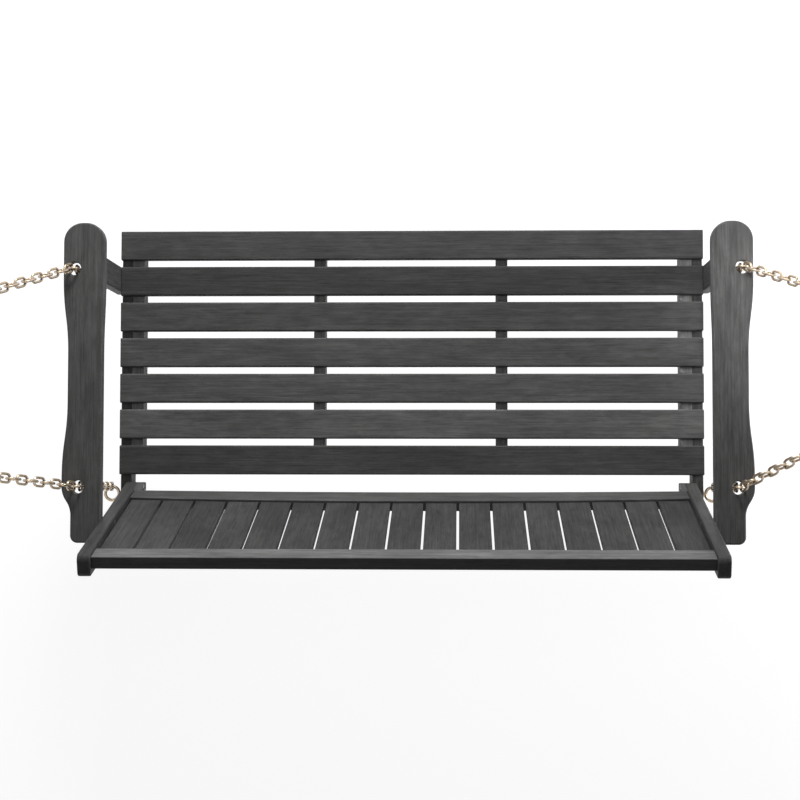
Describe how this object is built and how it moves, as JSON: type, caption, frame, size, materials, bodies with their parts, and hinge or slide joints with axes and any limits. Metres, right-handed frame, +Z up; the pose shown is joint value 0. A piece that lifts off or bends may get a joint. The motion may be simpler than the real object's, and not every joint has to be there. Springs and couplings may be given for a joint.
{
  "type": "porch swing seat",
  "caption": "Slatted wooden porch swing bench with a leaning slatted back, shaped armrests with chain holes, and hanging chains with S-hooks from eye bolts under the arms.",
  "frame": {"origin": "on the ground plane under the side rails, at the middle of the swing's width and depth", "axes": "+X to the sitter's left, +Y to the rear, +Z up; the front of the seat faces -Y"},
  "size_m": [1.541, 0.6866, 0.6435],
  "materials": {
    "seat_boards": "dark stained",
    "back_boards": "dark stained",
    "arm_boards": "dark stained",
    "frame_boards": "dark stained",
    "chain": "polished",
    "hooks": "polished",
    "eye_bolts": "polished",
    "screws": "brushed"
  },
  "bodies": {
    "seat": {"arm_dowels": "frame_boards", "arm_post_left": "frame_boards", "arm_post_right": "frame_boards", "armrest_left": "arm_boards", "armrest_right": "arm_boards", "back_bottom_rail": "back_boards", "back_slat_01": "back_boards", "back_slat_02": "back_boards", "back_slat_03": "back_boards", "back_slat_04": "back_boards", "back_slat_05": "back_boards", "back_slat_06": "back_boards", "back_slat_07": "back_boards", "back_slat_08": "back_boards", "back_slat_09": "back_boards", "back_slat_10": "back_boards", "back_slat_11": "back_boards", "back_slat_12": "back_boards", "back_slat_13": "back_boards", "back_slat_14": "back_boards", "back_slat_15": "back_boards", "back_slat_16": "back_boards", "back_slat_17": "back_boards", "back_stile_left": "frame_boards", "back_stile_right": "frame_boards", "back_top_rail": "back_boards", "end_joist_left": "frame_boards", "end_joist_right": "frame_boards", "eye_bolt_nuts": "eye_bolts", "eye_bolts": "eye_bolts", "front_apron": "frame_boards", "lower_chain_front_left": "chain", "lower_chain_front_right": "chain", "lower_chain_rear_left": "chain", "lower_chain_rear_right": "chain", "middle_joist_left": "frame_boards", "middle_joist_right": "frame_boards", "rear_apron": "frame_boards", "seat_slat_1": "seat_boards", "seat_slat_2": "seat_boards", "seat_slat_3": "seat_boards", "seat_slat_4": "seat_boards", "seat_slat_5": "seat_boards", "seat_slat_6": "seat_boards", "seat_slat_7": "seat_boards", "side_rail_left": "frame_boards", "side_rail_right": "frame_boards", "wood_screws": "screws"},
    "turn_front_left": {"turn_link_front_left": "chain"},
    "strand_front_left": {"upper_chain_front_left": "chain", "s_hook_front_left": "hooks"},
    "turn_rear_left": {"turn_link_rear_left": "chain"},
    "strand_rear_left": {"upper_chain_rear_left": "chain", "s_hook_rear_left": "hooks"},
    "turn_front_right": {"turn_link_front_right": "chain"},
    "strand_front_right": {"upper_chain_front_right": "chain", "s_hook_front_right": "hooks"},
    "turn_rear_right": {"turn_link_rear_right": "chain"},
    "strand_rear_right": {"upper_chain_rear_right": "chain", "s_hook_rear_right": "hooks"}
  },
  "joints": [
    {"name": "swing_front_left", "type": "hinge", "parent": "seat", "child": "turn_front_left", "pos_m": [0.63553, -0.23023, 0.36754], "axis": [0.9519, 0, -0.3065], "range_deg": [-35, 35]},
    {"name": "spread_front_left", "type": "hinge", "parent": "turn_front_left", "child": "strand_front_left", "pos_m": [0.64256, -0.22312, 0.38936], "axis": [-0.0879, 0.958, -0.273], "range_deg": [-20, 35]},
    {"name": "swing_rear_left", "type": "hinge", "parent": "seat", "child": "turn_rear_left", "pos_m": [0.62593, 0.18397, 0.36757], "axis": [0.956, 0, -0.2933], "range_deg": [-35, 35]},
    {"name": "spread_rear_left", "type": "hinge", "parent": "turn_rear_left", "child": "strand_rear_left", "pos_m": [0.63295, 0.18207, 0.39044], "axis": [0.0224, 0.9971, 0.0731], "range_deg": [-20, 35]},
    {"name": "swing_front_right", "type": "hinge", "parent": "seat", "child": "turn_front_right", "pos_m": [-0.63553, -0.23023, 0.36754], "axis": [0.9519, 0, 0.3065], "range_deg": [-35, 35]},
    {"name": "spread_front_right", "type": "hinge", "parent": "turn_front_right", "child": "strand_front_right", "pos_m": [-0.64256, -0.22312, 0.38936], "axis": [-0.0879, -0.958, 0.273], "range_deg": [-20, 35]},
    {"name": "swing_rear_right", "type": "hinge", "parent": "seat", "child": "turn_rear_right", "pos_m": [-0.62603, 0.18397, 0.36754], "axis": [0.9518, 0, 0.3068], "range_deg": [-35, 35]},
    {"name": "spread_rear_right", "type": "hinge", "parent": "turn_rear_right", "child": "strand_rear_right", "pos_m": [-0.63306, 0.17679, 0.38933], "axis": [0.0889, -0.9571, -0.2759], "range_deg": [-20, 35]}
  ],
  "couplings": [
    {"joint": "swing_rear_left", "follows": "swing_front_left", "ratio": 1},
    {"joint": "spread_rear_left", "follows": "spread_front_left", "ratio": 1},
    {"joint": "swing_front_right", "follows": "swing_front_left", "ratio": 1},
    {"joint": "spread_front_right", "follows": "spread_front_left", "ratio": 1},
    {"joint": "swing_rear_right", "follows": "swing_front_left", "ratio": 1},
    {"joint": "spread_rear_right", "follows": "spread_front_left", "ratio": 1}
  ]
}
